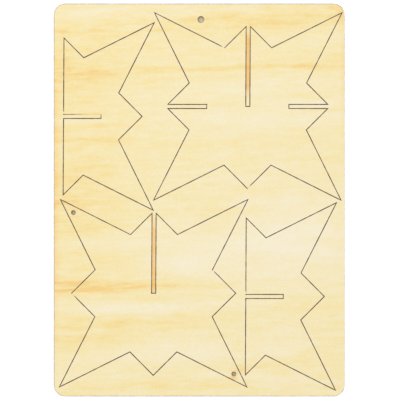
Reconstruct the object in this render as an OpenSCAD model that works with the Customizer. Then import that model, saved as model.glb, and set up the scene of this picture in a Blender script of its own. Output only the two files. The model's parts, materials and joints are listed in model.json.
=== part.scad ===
// Press-out plywood puzzle sheet: two eight-pointed stars and two half stars, still in their carrier sheet.
// The sheet lies flat: X is its width, Y its height, Z its thickness, with the back of the wood at Z = 0.
// Each loose piece is three glued plies, and each ply is a node of its own.

/* [Sheet] */
// Width of the sheet
sheet_w = 198.2; // [198:0.1:206]
// Height of the sheet
sheet_h = 267.7; // [267:0.1:280]
// Radius of the sheet's rounded corners
corner_r = 7.5; // [2:0.5:10]
// Thickness of the face veneer, and of the back veneer
veneer_t = 0.8; // [0.4:0.05:1]
// Thickness of the cross-grained core
core_t = 1.4; // [0.8:0.1:2]

/* [Stars] */
// Grid step of the star pattern: a full star is 16 steps across
grid = 8; // [7.4:0.05:8]
// Distance from a half star's centre line to the cut along its straight edge
half_cut = 2.43; // [1.5:0.01:4]
// Play of a slot round the thickness of the wood
slot_play = 0.1; // [0:0.05:0.4]

/* [Laser cut] */
// Width of wood that the laser burns away
kerf = 0.3; // [0.1:0.05:0.5]
// Length of cut that a usual holding tab leaves whole
tab_w = 1.7; // [0.8:0.1:2.5]
// Length of star A's lower tab and star B's left tab
long_tab_w = 2.5; // [0.8:0.1:3.5]
// Length of star B's right tab
short_tab_w = 1.3; // [0.8:0.1:2.5]
// Crack between a tab's end and the piece it holds
tab_crack = 0.03; // [0.02:0.01:0.08]
// Lean of the pattern, from a cutter not quite square: how far it moves right for each unit up
lean = 0.0055; // [0:0.0005:0.01]

/* [Holes] */
// Diameter of the hole the sheet hangs by
hang_d = 4.5; // [3:0.1:6]
// Diameter of the two cord holes in star B
cord_d = 3.2; // [1.5:0.1:4]

/* [Layout] */
// Centre of star A, from the middle of the sheet
star_a_at = [33.1, 63.8]; // [-100:0.1:100]
// Centre of star B
star_b_at = [-31.1, -63.6]; // [-100:0.1:100]
// Centre line of the top-left half star
half_top_at = [-95, 57]; // [-100:0.1:100]
// Centre line of the bottom-right half star
half_bottom_at = [29.3, -65.8]; // [-100:0.1:100]
// Centre of the hanging hole
hang_at = [1.1, 123.1]; // [-100:0.1:125]
// Cord holes' distance from star B's centre, along X and along Y
cord_reach = 55; // [50:0.5:56]

/* [Hidden] */
$fn = 64;

face_colour = "wheat";
core_colour = "burlywood";
back_colour = "navajowhite";

// The pattern on its grid: long points, short points and the valleys between them
long_point = 8 * grid;
short_point = 7 * grid;
valley_far = 5 * grid;
valley_near = 2 * grid;
side_slot_end = short_point / 2;
wood_t = 2 * veneer_t + core_t;
// Half the width of a slot, measured to the middle of its two cuts
slot_half = (wood_t + slot_play - kerf) / 2;
// What a cutting solid stands clear of the wood above and below
clear = 1;

// A point turned a number of quarter turns about the origin
function turned(p, quarters) =
    quarters == 0 ? p : turned([-p.y, p.x], quarters - 1);

// The end of a short point, on the right: plain, or with a slot from it in to x = slot_end
function short_tip(slot_end) =
    is_undef(slot_end) ? [[short_point, 0]] : [
        [short_point - slot_half, -slot_half], [slot_end, -slot_half],
        [slot_end, slot_half], [short_point - slot_half, slot_half]
    ];

// The long point between the right and the top short points, with a valley on each side of it
function long_tip() =
    [[valley_far, valley_near], [long_point, long_point], [valley_near, valley_far]];

// The middle of the cut round a full star, counterclockwise; one slot end for each side from the right round
function star_cut(slot_ends) =
    [for (side = [0:3]) for (p = concat(short_tip(slot_ends[side]), long_tip())) turned(p, side)];

// The middle of the cut round a half star, counterclockwise from below: it keeps the right of a full star
function half_cut_line() = concat(
    [[half_cut, half_cut - short_point]],
    [for (p = long_tip()) turned(p, 3)],
    short_tip(undef),
    long_tip(),
    [[half_cut, short_point - half_cut], [half_cut, slot_half], [side_slot_end, slot_half],
     [side_slot_end, -slot_half], [half_cut, -slot_half]]
);

// The outward direction of the edge from a to b on a counterclockwise outline
function outward(a, b) = [b.y - a.y, a.x - b.x] / norm(b - a);

// Corner b after both of its edges have moved outward by d
function moved_corner(a, b, c, d) =
    let (n1 = outward(a, b), n2 = outward(b, c)) b + d * (n1 + n2) / (1 + n1 * n2);

// A whole outline moved outward by d, with sharp corners
function moved(points, d) = let (n = len(points))
    [for (i = [0:n - 1]) moved_corner(points[(i + n - 1) % n], points[i], points[(i + 1) % n], d)];

// A piece's points after the pattern has leaned to the right about the piece's own centre line
function leaned(points) = [for (p = points) [p.x + lean * p.y, p.y]];

star_a_cut = leaned(star_cut([side_slot_end, 0, side_slot_end, undef]));
star_b_cut = leaned(star_cut([undef, 0, undef, undef]));
half_star_cut = leaned(half_cut_line());
cord_holes = leaned([[-cord_reach, cord_reach], [cord_reach, -cord_reach]]);

// Each tab: the corner of the cut that it sits next to, the point that the cut runs on to, and its length
star_a_tabs = [
    [[-valley_near, valley_far], [-long_point, long_point], tab_w],
    [[0, -short_point], [valley_near, -valley_far], long_tab_w]
];
star_b_tabs = [
    [[-short_point, 0], [-valley_far, -valley_near], long_tab_w],
    [[valley_far, valley_near], [short_point, 0], short_tab_w]
];
half_star_tabs = [[[half_cut, slot_half], [half_cut, short_point], tab_w]];

// Every piece in the sheet: its place, the middle of its cut, and its tabs
pieces = [
    [star_a_at, star_a_cut, star_a_tabs],
    [star_b_at, star_b_cut, star_b_tabs],
    [half_top_at, half_star_cut, half_star_tabs],
    [half_bottom_at, half_star_cut, half_star_tabs]
];

// A tab: a strip of whole wood across the cut that starts one kerf past a corner of the cut
module tab(ends, length) {
    along = (ends[1] - ends[0]) / norm(ends[1] - ends[0]);
    middle = ends[0] + along * (kerf + length / 2);
    translate(middle)
        rotate(atan2(along.y, along.x))
            square([length, 3 * kerf], center = true);
}

// What the carrier sheet lacks for one piece: the window, less its tabs, and the piece with a crack round it
module window(cut, tabs) {
    difference() {
        polygon(moved(cut, kerf / 2));
        for (t = tabs) tab(leaned([t[0], t[1]]), t[2]);
    }
    polygon(moved(cut, tab_crack - kerf / 2));
}

// The whole sheet before it is cut
module blank() {
    square([sheet_w - 2 * corner_r, sheet_h], center = true);
    square([sheet_w, sheet_h - 2 * corner_r], center = true);
    for (x = [-1, 1], y = [-1, 1])
        translate([x * (sheet_w / 2 - corner_r), y * (sheet_h / 2 - corner_r)])
            circle(corner_r);
}

// A flat shape as one of the three plies: 0 is the back veneer, 1 the core, 2 the face veneer
module ply(level) {
    bottom = level == 0 ? 0 : level == 1 ? veneer_t : veneer_t + core_t;
    colour = level == 0 ? back_colour : level == 1 ? core_colour : face_colour;
    color(colour)
        translate([0, 0, bottom])
            linear_extrude(height = level == 1 ? core_t : veneer_t)
                children();
}

module carrier_ply(level) {
    ply(level)
        difference() {
            blank();
            for (piece = pieces) translate(piece[0]) window(piece[1], piece[2]);
            translate(hang_at) circle(d = hang_d);
        }
}

module star_a_ply(level) {
    ply(level) translate(star_a_at) polygon(moved(star_a_cut, -kerf / 2));
}

module star_b_ply(level) {
    ply(level)
        translate(star_b_at)
            difference() {
                polygon(moved(star_b_cut, -kerf / 2));
                for (spot = cord_holes) translate(spot) circle(d = cord_d);
            }
}

module half_star_ply(level, at) {
    ply(level) translate(at) polygon(moved(half_star_cut, -kerf / 2));
}

module carrier_back_veneer() { carrier_ply(0); }
module carrier_core() { carrier_ply(1); }
module carrier_face_veneer() { carrier_ply(2); }
module star_a_back_veneer() { star_a_ply(0); }
module star_a_core() { star_a_ply(1); }
module star_a_face_veneer() { star_a_ply(2); }
module star_b_back_veneer() { star_b_ply(0); }
module star_b_core() { star_b_ply(1); }
module star_b_face_veneer() { star_b_ply(2); }
module half_star_top_back_veneer() { half_star_ply(0, half_top_at); }
module half_star_top_core() { half_star_ply(1, half_top_at); }
module half_star_top_face_veneer() { half_star_ply(2, half_top_at); }
module half_star_bottom_back_veneer() { half_star_ply(0, half_bottom_at); }
module half_star_bottom_core() { half_star_ply(1, half_bottom_at); }
module half_star_bottom_face_veneer() { half_star_ply(2, half_bottom_at); }

carrier_back_veneer();
carrier_core();
carrier_face_veneer();
star_a_back_veneer();
star_a_core();
star_a_face_veneer();
star_b_back_veneer();
star_b_core();
star_b_face_veneer();
half_star_top_back_veneer();
half_star_top_core();
half_star_top_face_veneer();
half_star_bottom_back_veneer();
half_star_bottom_core();
half_star_bottom_face_veneer();
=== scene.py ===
"""Looks of the press-out plywood puzzle sheet: detailed plies, bare wood, burnt cuts, studio and camera.

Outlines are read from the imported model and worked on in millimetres; every mesh is made in metres.
"""
import json
import math

import bpy
import numpy as np
from mathutils.geometry import delaunay_2d_cdt
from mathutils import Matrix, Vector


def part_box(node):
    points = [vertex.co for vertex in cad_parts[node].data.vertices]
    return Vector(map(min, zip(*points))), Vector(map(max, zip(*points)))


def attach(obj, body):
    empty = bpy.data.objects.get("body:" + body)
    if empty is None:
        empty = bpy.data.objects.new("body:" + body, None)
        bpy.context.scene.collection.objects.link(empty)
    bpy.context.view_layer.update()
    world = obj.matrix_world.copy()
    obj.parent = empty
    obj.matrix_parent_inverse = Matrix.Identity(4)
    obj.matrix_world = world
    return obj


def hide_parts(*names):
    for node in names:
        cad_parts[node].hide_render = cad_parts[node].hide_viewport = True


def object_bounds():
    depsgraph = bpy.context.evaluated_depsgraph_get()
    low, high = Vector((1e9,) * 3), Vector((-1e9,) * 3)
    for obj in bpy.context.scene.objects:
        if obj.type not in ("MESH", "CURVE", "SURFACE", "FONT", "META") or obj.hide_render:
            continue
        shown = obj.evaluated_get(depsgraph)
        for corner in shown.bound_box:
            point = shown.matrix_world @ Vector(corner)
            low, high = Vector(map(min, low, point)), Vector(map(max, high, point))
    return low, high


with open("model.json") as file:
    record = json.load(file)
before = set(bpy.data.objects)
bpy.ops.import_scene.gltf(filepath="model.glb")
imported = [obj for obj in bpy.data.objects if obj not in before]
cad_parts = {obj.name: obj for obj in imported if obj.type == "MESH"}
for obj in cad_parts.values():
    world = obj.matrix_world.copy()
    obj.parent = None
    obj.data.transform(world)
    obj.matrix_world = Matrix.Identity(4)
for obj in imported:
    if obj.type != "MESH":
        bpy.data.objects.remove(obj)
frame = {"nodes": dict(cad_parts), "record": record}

MM = 0.001
CAD_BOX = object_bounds()
SHEET_LOW, SHEET_HIGH = (np.array(corner) / MM for corner in CAD_BOX)
SHEET_TOP = SHEET_HIGH[2]

# How much of the picture's height the sheet takes, and how far its middle is left of the picture's, in mm
SHEET_SHARE = 0.9812
MIDDLE_LEFT_BY = 0.5
LENS, SENSOR = 200.0, 36.0

# Light that falls on an open, level surface: from the surround alone, and with the key light
SURROUND, STUDIO_LIGHT = 0.75, 1.15
# The lamps: place and width in metres, power in watts
KEY_LIGHT = ((-1.1, 1.5, 3.2), 1.8, 68.0)
FLOOR_LIGHT = ((0, 0, 3.0), 3.0, 100.0)
# Half the white floor's width in metres, how far in from the sheet's edges it reaches in mm, and how far
# below the sheet it and the patch of painted shade under the sheet lie in mm
FLOOR_HALF = 3.0
UNDERLAY_IN = 4.0
FLOOR_DROP, UNDERLAY_DROP = 0.1, 0.2
# Waves per metre in the paper
PAPER_TOOTH = 900

# The bevel on a face beside a cut, and on a side that is glued to the next ply
FACE_EASE, GLUE_EASE = 0.06, 0.03
# How burnt a face is at most, where the walls of the cuts are 1
CHARRED = 0.8
# The laser's burn on a face: how far in from the cut each ring lies, and how burnt the wood is there, 0 to 1
FACE_BURN = ((FACE_EASE, CHARRED), (0.11, 0.5), (0.2, 0.28), (0.35, 0.0))
BACK_BURN = ((FACE_EASE, CHARRED), (0.15, 0.75), (0.25, 0.5), (0.35, 0.0))
# The burn is stronger along the sheet's rim and weaker round holes, which are under LARGEST_HOLE across. On
# the rim's right side, within RIM_WIDTH of the edge, it is faint: painted light, that side drawn lighter than
# the others
RIM_BURN, RIGHT_RIM_PAINTED_LIGHT, HOLE_BURN = 1.7, 0.1, 0.3
RIM_WIDTH = 0.5
LARGEST_HOLE = 6.0
# Past a keen notch the burn reaches at most this many times its inset, so that it stays in the wood
NOTCH_REACH = 1.5
# Longest step between points along an outline
STEP = 4.0
# Faces that meet at more than this angle keep a sharp edge between them
SHARP_FROM = math.radians(25)
# A corner this close to another piece is the end of a holding tab. The burn fades over TAB_FADE beside it
TAB_REACH = 0.06
TAB_FADE = 0.15

# Long slots whose tongue of waste wood is scorched: piece, and where on the slot the scorch starts and ends
SCORCHED_TONGUES = (("star_a", 0.10, 0.97), ("star_b", -0.05, 0.95))
# The shares of the slot over which the scorch rises and falls, and a bit more than half the tongue's width
SCORCH_RISE, SCORCH_FALL = 0.12, 0.16
TONGUE_HALF = 1.8
# What scorching leaves of the wood's red, green and blue
SCORCH_TINT = (1.0, 0.69, 0.37, 1.0)
# The upper cut of this piece's slot grows finer and cleaner along the slot. From FINE_FROM of its length on,
# it is a hairline: FINER_BY narrower than the other cuts, and without a burn
FINE_CUT_PIECE, FINE_FROM, FINER_BY = "half_star_top", 0.65, 0.25
# How far above the slot's middle line the wood beside that cut lies, and the longest such a slot can be
FINE_LOW, FINE_HIGH = 1.0, 2.2
SHORT_SLOT_MOST = 40.0

# Scorches on the face beside a hole and two tips, and stains along the left and right edges and in a corner:
# x, y, half length, half height, strength
SCORCH_SPOTS = (
    (23.3, -121.0, 2.6, 1.7, 0.95),
    (28.5, -115.5, 7.0, 3.0, 0.30),
    (-90.5, -60.5, 5.0, 3.0, 0.18),
    (-99.0, -10.0, 3.2, 105.0, 0.40),
    (98.5, 85.0, 2.0, 45.0, 0.25),
    (97.0, 127.0, 4.0, 6.0, 0.35),
)

# Streaks of colour in the face veneer: along, up, half length, half height, how much warmer (or paler)
STREAKS = (
    (-50, 88, 60, 2.6, 0.55),
    (50, 91, 70, 2.6, 0.55),
    (82, 95, 34, 7, 0.40),
    (-80, 84, 30, 3.5, 0.30),
    (46, 127, 70, 6, 0.35),
    (94, 129, 9, 6, 0.60),
    (-77, 39, 32, 3, 0.50),
    (12, -6, 52, 3.6, 0.40),
    (-92, -56.5, 28, 2.4, 0.80),
    (-90, -62, 28, 1.6, 0.90),
    (-45, -60, 36, 2.6, 0.50),
    (-10, -58.5, 45, 3.5, 0.40),
    (-40, -84, 80, 4.5, 0.45),
    (-84, -95, 20, 4, 0.35),
    (-34, -126, 80, 6, 0.35),
    (62, -112, 48, 3.5, 0.40),
    (-99, 45, 5, 60, 0.35),
    (-91, -0.5, 12, 3, 0.50),
    (27, -116, 7, 3.5, 0.60),
    (-85, 40, 42, 95, 0.40),
    (-80, -20, 36, 40, 0.35),
    (15, 120, 100, 7.5, 0.60),
    (72, 66, 42, 4.5, -0.50),
    (-86, 54, 30, 4, -0.50),
    (-90, -80, 16, 9, 0.50),
    (-85, 98, 42, 24, 0.35),
    (-70, -94, 46, 8, 0.45),
    (-68, -60, 52, 5.5, 0.60),
    (40, -25, 75, 45, -0.35),
    (20, -31, 50, 9, -0.35),
    (-78, 126, 26, 3.6, -0.45),
    (30, 76, 40, 8, -0.45),
    (37, 53, 75, 9, -0.50),
    (-70, 54.5, 38, 3, -0.40),
    (70, -24, 44, 32, -0.45),
    (-6, -43, 32, 9, -0.50),
    (-68, -30, 44, 8, -0.45),
    (-45, -74, 66, 4.2, -0.65),
    (-20, -104, 52, 10, -0.65),
    (55, -98, 18, 9, -0.40),
    (53, -123, 25, 4, -0.40),
)

# The noises in the wood, in waves per mm along the grain, up across it and through the wood
WANDER_SCALE = (0.014, 0.035, 0.03)
RIPPLE_SCALE = (0.06, 0.35, 0.1)
BROAD_SCALE = (0.011, 0.11, 0.1)
MEDIUM_SCALE = (0.046, 0.30, 0.3)
FIBRE_SCALE = (0.14, 2.2, 1.5)
MOTTLE_SCALE = (0.24, 0.28, 0.2)
PORE_SCALE = (0.55, 7.0, 3.0)
FLARE_SCALE = (0.2, 0.2, 0.2)
STRIAE_SCALE = (3.5, 3.5, 0.35)
# What each adds to the wood's warmth, the warmth where all are at their middle, and that of each tone
BROAD_SHARE, MEDIUM_SHARE, FIBRE_SHARE, MOTTLE_SHARE = 0.55, 0.85, 0.18, 0.42
MIDDLE_WARMTH = 0.40
TONE_PLACES = (0.0, 0.38, 0.68, 1.0)
# The grain drops by this much for each mm along it, and in mm how far the wander and the ripple bend it
GRAIN_DROP = 0.03
WANDER_BEND, RIPPLE_BEND = 9.0, 2.2
# In mm, how far the figure draws out a streak's ends, and how far the wander and the ripple bend a streak
STREAK_DRAW, STREAK_WANDER, STREAK_RIPPLE = 34.0, 6.0, 3.0
# A streak or a spot fades to nothing at this many times its half length and half height
SPOT_REACH = 1.5
# Where on their noise the pores begin and are full, and how far they turn the wood to their colour
PORES, PORE_SHARE = (0.58, 0.70), 0.30
# How burnt the wood is where its colour starts to turn, and where it has turned: browned, darkened, charred
BROWNED, DARKENED, BLACKENED = (0.02, 0.5), (0.4, 0.7), (0.82, 0.98)
# The pores' colour and what browned and darkened wood turn to, as 0 to 255 on screen
PORE_COLOUR, BROWN, DARK = (226, 192, 134), (190, 166, 148), (116, 108, 104)
# How far each material's figure is moved for each unit of its seed, in mm
SEED_SHIFT = (37.0, 53.0, 11.0)


# ---------- outlines ----------

def outlines(node):
    """The outlines of a ply's upper face: lists of corners with the wood on their left."""
    mesh = frame["nodes"][node].data
    sides = set()
    for face in mesh.polygons:
        if face.normal.z > 0.9:
            corners = [tuple(round(c / MM, 4) for c in mesh.vertices[i].co.xy) for i in face.vertices]
            sides.update(zip(corners, corners[1:] + corners[:1]))
    following = {a: b for a, b in sides if (b, a) not in sides}
    loops = []
    while following:
        point = min(following)
        loop = []
        while point in following:
            loop.append(point)
            point = following.pop(point)
        loops.append(np.array(loop))
    return loops


def moved_in(corners, inset):
    """The outline with each of its edges moved into the wood by inset, and its corners kept sharp."""
    along = np.roll(corners, -1, axis=0) - corners
    outward = np.column_stack((along[:, 1], -along[:, 0])) / np.linalg.norm(along, axis=1)[:, None]
    before = np.roll(outward, 1, axis=0)
    turn = 1 + (before * outward).sum(axis=1)
    return corners - inset * (before + outward) / turn[:, None]


def near_edge(point, a, b):
    """(distance from a point to the line from a to b, how far along it the nearest place is, 0 to 1)."""
    edge = b - a
    share = float(np.clip((point - a) @ edge / (edge @ edge), 0, 1))
    return float(np.linalg.norm(a + share * edge - point)), share


def find_tabs(carrier_loops, piece_loops):
    """(middle, half length) of each holding tab: an edge of the carrier that all but touches a piece."""
    edges = [pair for loop in piece_loops for pair in zip(loop, np.roll(loop, -1, axis=0))]
    tabs = []
    for loop in carrier_loops:
        touches = [min(near_edge(p, a, b)[0] for a, b in edges) < TAB_REACH for p in loop]
        for i, point in enumerate(loop):
            j = (i + 1) % len(loop)
            if touches[i] and touches[j]:
                tabs.append(((point + loop[j]) / 2, float(np.linalg.norm(loop[j] - point)) / 2))
    return tabs


def steps_along(corners, tabs):
    """For each edge of an outline, the places along it, 0 to 1, that get a point: even steps, and tabs."""
    steps = []
    for a, b in zip(corners, np.roll(corners, -1, axis=0)):
        length = float(np.linalg.norm(b - a))
        places = set(np.linspace(0, 1, max(1, math.ceil(length / STEP)), endpoint=False))
        for middle, half in tabs:
            distance, share = near_edge(middle, a, b)
            if distance < TAB_REACH and 0 < share < 1:
                reach = (half / length, (half + TAB_FADE) / length)
                places.update(p for r in reach for p in (share - r, share + r) if 0 < p < 1)
        steps.append(sorted(places))
    return steps


def blunted(corners, inner, inset):
    """The moved corners, those past a keen notch held back to NOTCH_REACH times the inset."""
    along = np.roll(corners, -1, axis=0) - corners
    before = np.roll(along, 1, axis=0)
    notch = before[:, 0] * along[:, 1] < before[:, 1] * along[:, 0]
    shift = inner - corners
    held = np.minimum(1, NOTCH_REACH * inset / np.maximum(np.linalg.norm(shift, axis=1), 1e-9))
    return corners + shift * np.where(notch, held, 1)[:, None]


def ring(corners, inset, steps):
    """Points round an outline after it has moved into the wood, one for each step."""
    inner = moved_in(corners, inset)
    following = np.roll(inner, -1, axis=0)
    starts = blunted(corners, inner, inset)
    rows = zip(starts, inner, following, steps)
    return np.array([a + (b - a) * s if s else start for start, a, b, row in rows for s in row])


def inside(points, loops):
    """Which points lie in the wood, by counting the edges to the right of each."""
    crossings = np.zeros(len(points), int)
    for loop in loops:
        for a, b in zip(loop, np.roll(loop, -1, axis=0)):
            if a[1] == b[1]:
                continue
            level = (a[1] > points[:, 1]) != (b[1] > points[:, 1])
            x = a[0] + (points[:, 1] - a[1]) * (b[0] - a[0]) / (b[1] - a[1])
            crossings += level & (points[:, 0] < x)
    return crossings % 2 == 1


def cap(rings):
    """Triangles that fill a face between its outlines, as indices into the rings' points laid end to end."""
    points = np.concatenate(rings)
    edges, start = [], 0
    for loop in rings:
        edges += [(start + i, start + (i + 1) % len(loop)) for i in range(len(loop))]
        start += len(loop)
    made = delaunay_2d_cdt([tuple(p) for p in points], edges, [], 0, 1e-6)
    places = np.array([tuple(v) for v in made[0]])
    original = [ids[0] for ids in made[3]]
    middles = np.array([places[list(face)].mean(axis=0) for face in made[2]])
    kept = inside(middles, rings)
    return [tuple(original[i] for i in face) for face, keep in zip(made[2], kept) if keep]


# ---------- burn and scorch ----------

def tab_share(point):
    """0 on a holding tab, where no laser passed, rising to 1 beside it."""
    return min(ease(float(np.linalg.norm(point - middle)), half, half + TAB_FADE) for middle, half in TABS)


def slot_of(piece):
    """(x, lowest y, highest y) of a full star's long slot, from its centre up 7 of the star's 16 steps."""
    low, high = (np.array(c)[:2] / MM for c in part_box(piece + "_face_veneer"))
    middle = (low + high) / 2
    return middle[0], middle[1], middle[1] + (high[1] - low[1]) * 7 / 16


def burn_share(loop):
    """How strong the burn on the face beside an outline is, next to a usual cut's."""
    size = np.ptp(loop, axis=0).max()
    if size > SHEET_HIGH[1]:
        return RIM_BURN
    return HOLE_BURN if size < LARGEST_HOLE else 1.0


def burn_at(point, burn, share):
    """How burnt the wood is at a point where a usual cut would leave this burn."""
    if burn < 1:
        # painted light: on the rim's right side the burn is nearly taken away, so that side is drawn lighter
        if point[0] > SHEET_HIGH[0] - RIM_WIDTH:
            share = RIGHT_RIM_PAINTED_LIGHT
        burn = min(CHARRED, share * burn)
    return burn * tab_share(point) * (1 - fine_cut_share(point))


def scorch_at(point):
    """How scorched the face is at a point of the carrier sheet: only its tongues in the long slots are."""
    for x, bottom, top, start, end in TONGUES:
        share = (point[1] - bottom) / (top - bottom)
        if abs(point[0] - x) < TONGUE_HALF and -0.01 < share < 1:
            return ease(share, start, start + SCORCH_RISE) * (1 - ease(share, end - SCORCH_FALL, end))
    return 0.0


def ease(value, low, high):
    """0 up to low, 1 from high on, and a straight rise between."""
    return max(0.0, min(1.0, (value - low) / (high - low)))


def fine_cut_share(point):
    """How far a point beside the fine cut has passed from a usual cut, 0, to a hairline, 1; 0 elsewhere."""
    mouth, end, level = FINE_CUT
    if mouth < point[0] < end + 1 and FINE_LOW < point[1] - level < FINE_HIGH:
        return ease(point[0], mouth, mouth + FINE_FROM * (end - mouth))
    return 0.0


def short_slot_of(piece):
    """(x of the mouth, x of the end, y) of a half star's slot, from its outline."""
    loop = outlines(piece + "_face_veneer")[0]
    mouth = loop[:, 0].min()
    middle = (loop[:, 1].min() + loop[:, 1].max()) / 2
    nearby = loop[abs(loop[:, 1] - middle) < 2 * TONGUE_HALF]
    end = nearby[nearby[:, 0] < mouth + SHORT_SLOT_MOST][:, 0].max()
    return mouth, end, middle


# ---------- plies ----------

def profile(z_low, z_high, low_burn, high_burn):
    """The rings of one ply from the middle of its underside, round its edge, to the middle of its top.

    Each is (inset, height, burn). A side that is glued to the next ply has only a hairline bevel.
    """
    glued = ((GLUE_EASE, 1.0),)
    low, high = low_burn or glued, high_burn or glued
    under = [(inset, z_low, burn) for inset, burn in reversed(low)]
    edge = [(0.0, z_low + low[0][0], 1.0), (0.0, z_high - high[0][0], 1.0)]
    return under + edge + [(inset, z_high, burn) for inset, burn in high]


def lay_rings(rings, loops, steps, on_carrier):
    """The points of every ring round every outline, and how burnt and how scorched the wood is at each."""
    points, burns, scorches = [], [], []
    for inset, z, burn in rings:
        for loop, places in zip(loops, steps):
            share = burn_share(loop)
            for p in ring(loop, inset, places):
                burns.append(burn_at(p, burn, share))
                scorches.append(scorch_at(p) if on_carrier else 0.0)
                points.append((p[0], p[1] + (FINER_BY * fine_cut_share(p) if on_carrier else 0.0), z))
    return points, burns, scorches


def skin(points, ring_count, sizes):
    """The faces between the rings and across both ends. sizes are the outlines' numbers of points."""
    starts = [sum(sizes[:n]) for n in range(len(sizes) + 1)]
    faces = []
    for k in range(ring_count - 1):
        for start, count in zip(starts, sizes):
            a, b = k * starts[-1] + start, (k + 1) * starts[-1] + start
            faces += [(a + i, a + (i + 1) % count, b + (i + 1) % count, b + i) for i in range(count)]
    flat = np.array(points)[:, :2]
    for base, flip in ((0, True), ((ring_count - 1) * starts[-1], False)):
        filled = cap([flat[base + a:base + b] for a, b in zip(starts, starts[1:])])
        faces += [tuple(base + i for i in (face[::-1] if flip else face)) for face in filled]
    return faces


def build_ply(node, body, low_burn, high_burn, material):
    """A detailed ply in place of a CAD node: bevelled arrises, and rings that carry the burn beside cuts."""
    low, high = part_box(node)
    rings = profile(low.z / MM, high.z / MM, low_burn, high_burn)
    loops = outlines(node)
    steps = [steps_along(loop, TABS) for loop in loops]
    points, burns, scorches = lay_rings(rings, loops, steps, body == "carrier_sheet")
    faces = skin(points, len(rings), [sum(len(row) for row in rows) for rows in steps])
    mesh = bpy.data.meshes.new(node + "_detail")
    mesh.from_pydata([tuple(c * MM for c in p) for p in points], [], faces)
    for name, values in (("burn", burns), ("scorch", scorches)):
        layer = mesh.attributes.new(name, "FLOAT", "POINT")
        layer.data.foreach_set("value", values)
    mesh.materials.append(material)
    mesh.shade_smooth()
    mesh.set_sharp_from_angle(angle=SHARP_FROM)
    mesh.update()
    piece = bpy.data.objects.new(node + "_detail", mesh)
    bpy.context.scene.collection.objects.link(piece)
    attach(piece, body)
    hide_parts(node)
    return piece


# ---------- materials ----------

def linear(red, green, blue):
    """A colour picked as 0 to 255 on screen, as linear light."""
    channels = [c / 255 for c in (red, green, blue)]
    return tuple(c / 12.92 if c <= 0.04045 else ((c + 0.055) / 1.055) ** 2.4 for c in channels) + (1.0,)


def lit(red, green, blue):
    """The wood colour that the studio's light shows as this colour on screen."""
    return tuple(c / STUDIO_LIGHT for c in linear(red, green, blue)[:3]) + (1.0,)


class Nodes:
    """Short calls that build one material's nodes. Each value passed in is a number, a colour or a socket."""

    def __init__(self, name):
        self.material = bpy.data.materials.new(name)
        self.material.use_nodes = True
        self.tree = self.material.node_tree
        self.tree.nodes.clear()

    def add(self, kind, inputs, output=0, **settings):
        node = self.tree.nodes.new(kind)
        for key, value in settings.items():
            setattr(node, key, value)
        for key, value in inputs.items():
            if isinstance(value, bpy.types.NodeSocket):
                self.tree.links.new(value, node.inputs[key])
            else:
                node.inputs[key].default_value = value
        return node.outputs[output] if node.outputs else None

    def math(self, operation, a, b=0.0, c=0.0):
        return self.add("ShaderNodeMath", {0: a, 1: b, 2: c}, operation=operation)

    def stretched(self, vector, scale):
        """The vector with each axis multiplied."""
        return self.add("ShaderNodeVectorMath", {0: vector, 1: scale}, operation="MULTIPLY")

    def noise(self, vector, detail=2.0, roughness=0.5):
        inputs = {"Vector": vector, "Scale": 1.0, "Detail": detail, "Roughness": roughness}
        return self.add("ShaderNodeTexNoise", inputs)

    def remap(self, value, low, high, to_low=0.0, to_high=1.0):
        """A smooth step from to_low to to_high as value goes from low to high."""
        inputs = {"Value": value, 1: low, 2: high, 3: to_low, 4: to_high}
        return self.add("ShaderNodeMapRange", inputs, interpolation_type="SMOOTHSTEP")

    def mix(self, share, a, b, blend="MIX"):
        inputs = {0: share, 6: a, 7: b}
        return self.add("ShaderNodeMix", inputs, output=2, data_type="RGBA", blend_type=blend)

    def ramp(self, value, *stops):
        socket = self.add("ShaderNodeValToRGB", {0: value})
        points = socket.node.color_ramp.elements
        while len(points) < len(stops):
            points.new(0.5)
        for point, (place, colour) in zip(points, stops):
            point.position = place
            point.color = colour
        return socket


def wood(name, tones, grain_along_x, streaks, spots, edge_colours, seed):
    """Bare plywood veneer: soft streaks and fine fibres along the grain, burnt where the laser has passed.

    tones are the pale, middle, warm and warmest colours. Coordinates are the sheet's own, so the grain runs
    on from piece to piece across the cuts.
    """
    n = Nodes(name)
    place = n.stretched(n.add("ShaderNodeTexCoord", {}, output=3), (1 / MM, 1 / MM, 1 / MM))
    if not grain_along_x:
        place = n.add("ShaderNodeMapping", {"Vector": place, "Rotation": (0, 0, math.radians(90))})
    place = n.add("ShaderNodeVectorMath", {0: place, 1: tuple(seed * shift for shift in SEED_SHIFT)})
    warmth, grain, medium, fibres = add_figure(n, place, streaks)
    colour = n.ramp(warmth, *zip(TONE_PLACES, tones))
    pores = n.remap(n.noise(n.stretched(grain, PORE_SCALE), detail=1.0), *PORES)
    colour = n.mix(n.math("MULTIPLY", pores, PORE_SHARE), colour, lit(*PORE_COLOUR))

    scorch = n.add("ShaderNodeAttribute", {}, output=2, attribute_name="scorch")
    for along, up, half_length, half_height, strength in spots:
        scorch = n.math("ADD", scorch, add_spot(n, place, along, up, half_length, half_height, strength))
    patchy = n.math("MULTIPLY", scorch, n.remap(medium, 0.2, 0.8, 0.75, 1.0))
    colour = n.mix(patchy, colour, SCORCH_TINT, blend="MULTIPLY")

    striae = n.noise(n.stretched(place, STRIAE_SCALE), detail=3.0, roughness=0.6)
    colour, burnt = add_burn(n, place, colour, striae, edge_colours)

    rough = n.math("MULTIPLY_ADD", burnt, 0.2, n.remap(fibres, 0.3, 0.7, 0.52, 0.64))
    relief = n.math("ADD", n.math("MULTIPLY", fibres, 0.6), n.math("MULTIPLY", medium, 0.4))
    relief = n.math("MULTIPLY_ADD", pores, -0.5, relief)
    relief = n.math("MULTIPLY_ADD", striae, burnt, relief)
    bump = n.add("ShaderNodeBump", {"Strength": 0.35, "Distance": 0.05 * MM, "Height": relief})
    shader = n.add("ShaderNodeBsdfPrincipled", {"Base Color": colour, "Roughness": rough, "Normal": bump})
    shader.node.inputs["Specular IOR Level"].default_value = 0.3
    n.add("ShaderNodeOutputMaterial", {0: shader})
    return n.material


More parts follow.
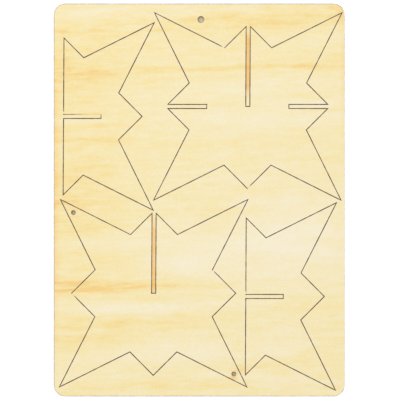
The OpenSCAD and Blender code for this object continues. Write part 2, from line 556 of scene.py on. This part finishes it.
def add_figure(n, place, streaks):
    """(warmth, grain coordinates, medium noise, fibres): the figure of the wood, with its grain along X."""
    wander = n.noise(n.stretched(place, WANDER_SCALE), detail=2.0)
    ripple = n.noise(n.stretched(place, RIPPLE_SCALE), detail=3.0, roughness=0.6)
    split = n.add("ShaderNodeSeparateXYZ", {0: place}, output=0)
    x, y, z = (split.node.outputs[i] for i in range(3))
    rise = n.math("MULTIPLY_ADD", x, -GRAIN_DROP, y)
    rise = n.math("MULTIPLY_ADD", wander, WANDER_BEND, rise)
    rise = n.math("MULTIPLY_ADD", ripple, RIPPLE_BEND, rise)
    grain = n.add("ShaderNodeCombineXYZ", {0: x, 1: rise, 2: z})
    broad = n.noise(n.stretched(grain, BROAD_SCALE), detail=3.0, roughness=0.6)
    medium = n.noise(n.stretched(grain, MEDIUM_SCALE), detail=4.0, roughness=0.64)
    fibres = n.noise(n.stretched(grain, FIBRE_SCALE), detail=2.0, roughness=0.6)
    mottle = n.noise(n.stretched(place, MOTTLE_SCALE), detail=3.0, roughness=0.65)
    all_at_middle = 0.5 * (BROAD_SHARE + MEDIUM_SHARE + FIBRE_SHARE + MOTTLE_SHARE)
    warmth = n.math("MULTIPLY_ADD", broad, BROAD_SHARE, MIDDLE_WARMTH - all_at_middle)
    warmth = n.math("MULTIPLY_ADD", medium, MEDIUM_SHARE, warmth)
    warmth = n.math("MULTIPLY_ADD", fibres, FIBRE_SHARE, warmth)
    warmth = n.math("MULTIPLY_ADD", mottle, MOTTLE_SHARE, warmth)
    if streaks:
        warmth = add_streaks(n, x, y, wander, ripple, medium, warmth, streaks)
    return warmth, grain, medium, fibres


def add_burn(n, place, colour, striae, edge_colours):
    """(colour, how burnt): browned and darkened beside the cuts, charred in fine stripes on their walls."""
    burn = n.add("ShaderNodeAttribute", {}, output=2, attribute_name="burn")
    flare = n.noise(n.stretched(place, FLARE_SCALE), detail=4.0, roughness=0.7)
    burnt = n.math("MULTIPLY", burn, n.remap(flare, 0.38, 0.64, 0.65, 1.65))
    colour = n.mix(n.remap(burnt, *BROWNED), colour, lit(*BROWN))
    colour = n.mix(n.remap(burnt, *DARKENED), colour, lit(*DARK))
    charred = n.mix(n.remap(striae, 0.35, 0.65), *edge_colours)
    return n.mix(n.remap(burn, *BLACKENED), colour, charred), burnt


def add_spot(n, place, along, up, half_length, half_height, strength):
    """A soft ellipse: strength at its middle, fading to nothing at its rim."""
    scale = (1 / (SPOT_REACH * half_length), 1 / (SPOT_REACH * half_height), 0)
    offset = (-along * scale[0], -up * scale[1], 0)
    spot = n.add("ShaderNodeVectorMath", {0: place, 1: scale, 2: offset}, operation="MULTIPLY_ADD")
    reach = n.add("ShaderNodeVectorMath", {0: spot}, output=1, operation="LENGTH")
    return n.remap(reach, 0.0, 1.0, strength, 0.0)


def add_streaks(n, x, y, wander, ripple, medium, warmth, streaks):
    """Adds soft ellipses of warmer or paler wood to the figure, their ends drawn out along the grain."""
    slide = n.math("MULTIPLY_ADD", medium, STREAK_DRAW, -STREAK_DRAW / 2)
    bend = n.math("MULTIPLY_ADD", wander, STREAK_WANDER, -STREAK_WANDER / 2)
    lift = n.math("ADD", bend, n.math("MULTIPLY_ADD", ripple, STREAK_RIPPLE, -STREAK_RIPPLE / 2))
    lift = n.math("MULTIPLY_ADD", x, -GRAIN_DROP, lift)
    drawn = n.add("ShaderNodeCombineXYZ", {0: n.math("ADD", x, slide), 1: n.math("ADD", y, lift)})
    total = None
    for along, up, half_length, half_height, strength in streaks:
        amount = add_spot(n, drawn, along, up - GRAIN_DROP * along, half_length, half_height, strength)
        total = amount if total is None else n.math("ADD", total, amount)
    lively = n.remap(medium, 0.25, 0.75, 0.30, 0.62)
    return n.math("MULTIPLY_ADD", total, lively, warmth)


# ---------- studio ----------

def add_softbox(name, location, size, power):
    """A square area light that faces the middle of the sheet."""
    light = bpy.data.lights.new(name, "AREA")
    light.shape = "SQUARE"
    light.size = size
    light.energy = power
    lamp = bpy.data.objects.new(name, light)
    lamp.location = location
    lamp.rotation_mode = "QUATERNION"
    lamp.rotation_quaternion = lamp.location.to_track_quat("Z", "Y")
    bpy.context.scene.collection.objects.link(lamp)
    return lamp


def add_floor(name, tones, outline, opening, z):
    """A level sheet of paper at height z, with a rectangular opening or none."""
    n = Nodes(name + "_paper")
    tooth = n.noise(n.stretched(n.add("ShaderNodeTexCoord", {}, output=3), (PAPER_TOOTH,) * 3), detail=3.0)
    paper = n.ramp(tooth, (0.3, tones[0]), (0.7, tones[1]))
    shader = n.add("ShaderNodeBsdfPrincipled", {"Base Color": paper, "Roughness": 0.9})
    n.add("ShaderNodeOutputMaterial", {0: shader})
    signs = ((-1, -1), (1, -1), (1, 1), (-1, 1))
    points = [(x * outline[0], y * outline[1], z) for x, y in signs]
    faces = [(0, 1, 2, 3)]
    if opening:
        points += [(x * opening[0], y * opening[1], z) for x, y in signs]
        faces = [(i, (i + 1) % 4, (i + 1) % 4 + 4, i + 4) for i in range(4)]
    mesh = bpy.data.meshes.new(name)
    mesh.from_pydata(points, [], faces)
    mesh.materials.append(n.material)
    floor = bpy.data.objects.new(name, mesh)
    bpy.context.scene.collection.objects.link(floor)
    return floor


def shine_on(lamp, objects):
    """Keeps a lamp's light to these objects."""
    collection = bpy.data.collections.new("lit_by_" + lamp.name)
    for thing in objects:
        collection.objects.link(thing)
    lamp.light_linking.receiver_collection = collection


def add_studio(pieces):
    """An even white surround, one soft light from the upper left on the puzzle, and a white floor.

    The floor has an overhead light of its own, which washes out the sheet's shadow. Under the sheet, where it
    shows through the holes and cuts, the floor is a separate, darker patch of buff paper. This is painted
    shade:
    its dull buff stands in for the shaded, warmly lit floor inside the holes.
    """
    world = bpy.data.worlds.new("surround")
    world.use_nodes = True
    backdrop = world.node_tree.nodes["Background"]
    backdrop.inputs["Color"].default_value = (1, 1, 1, 1)
    backdrop.inputs["Strength"].default_value = SURROUND
    bpy.context.scene.world = world
    bpy.context.scene.view_settings.view_transform = "Standard"
    half_sheet = SHEET_HIGH[:2] * MM
    under = half_sheet - UNDERLAY_IN * MM
    white = ((0.93, 0.93, 0.93, 1), (0.96, 0.96, 0.96, 1))
    # painted shade: the patch under the sheet is a dull buff, so the holes and cuts look shaded and warm
    # through it
    painted_shade_buff = ((0.41, 0.34, 0.23, 1), (0.44, 0.37, 0.25, 1))
    floor = add_floor("floor", white, (FLOOR_HALF, FLOOR_HALF), tuple(under), -FLOOR_DROP * MM)
    shade_patch = add_floor("painted_shade_under_sheet", painted_shade_buff, tuple(half_sheet), None, -UNDERLAY_DROP * MM)
    shine_on(add_softbox("key_light", *KEY_LIGHT), pieces + [shade_patch])
    shine_on(add_softbox("floor_light", *FLOOR_LIGHT), [floor, shade_patch])


def add_camera():
    """Square on to the face, through a long lens."""
    picture = (SHEET_HIGH[1] - SHEET_LOW[1]) / SHEET_SHARE * MM
    data = bpy.data.cameras.new("camera")
    data.lens = LENS
    data.sensor_width = SENSOR
    data.clip_end = 20
    camera = bpy.data.objects.new("camera", data)
    camera.location = (MIDDLE_LEFT_BY * MM, 0, SHEET_TOP * MM + picture * LENS / SENSOR)
    bpy.context.scene.collection.objects.link(camera)
    bpy.context.scene.camera = camera


BODIES = frame["record"]["behaviour"]["bodies"]
PIECES = [body for body in BODIES if body != "carrier_sheet"]
PIECE_LOOPS = [loop for piece in PIECES for loop in outlines(piece + "_face_veneer")]
TABS = find_tabs(outlines("carrier_face_veneer"), PIECE_LOOPS)
TONGUES = [(*slot_of(piece), start, end) for piece, start, end in SCORCHED_TONGUES]
FINE_CUT = short_slot_of(FINE_CUT_PIECE)

add_camera()

face_wood = wood(
    "face_veneer_wood",
    [lit(247, 238, 210), lit(247, 232, 184), lit(246, 226, 163), lit(246, 210, 136)],
    grain_along_x=True, streaks=STREAKS, spots=SCORCH_SPOTS,
    edge_colours=(lit(150, 112, 80), lit(100, 76, 58)), seed=0,
)
core_wood = wood(
    "core_wood",
    [lit(240, 224, 184), lit(236, 214, 168), lit(228, 200, 148), lit(214, 180, 124)],
    grain_along_x=False, streaks=(), spots=(), edge_colours=(lit(84, 60, 42), lit(46, 34, 26)), seed=3,
)
back_wood = wood(
    "back_veneer_wood",
    [lit(246, 234, 200), lit(243, 226, 178), lit(240, 216, 158), lit(236, 200, 134)],
    grain_along_x=True, streaks=(), spots=(), edge_colours=(lit(118, 86, 57), lit(74, 54, 40)), seed=7,
)

LAYERS = {
    "back_veneer": (BACK_BURN, None, back_wood),
    "core": (None, None, core_wood),
    "face_veneer": (None, FACE_BURN, face_wood),
}
pieces = []
for body, nodes in BODIES.items():
    for node in nodes:
        layer = next(name for name in LAYERS if node.endswith(name))
        low_burn, high_burn, material = LAYERS[layer]
        piece = build_ply(node, body, low_burn, high_burn, material)
        pieces.append(piece)
add_studio(pieces)
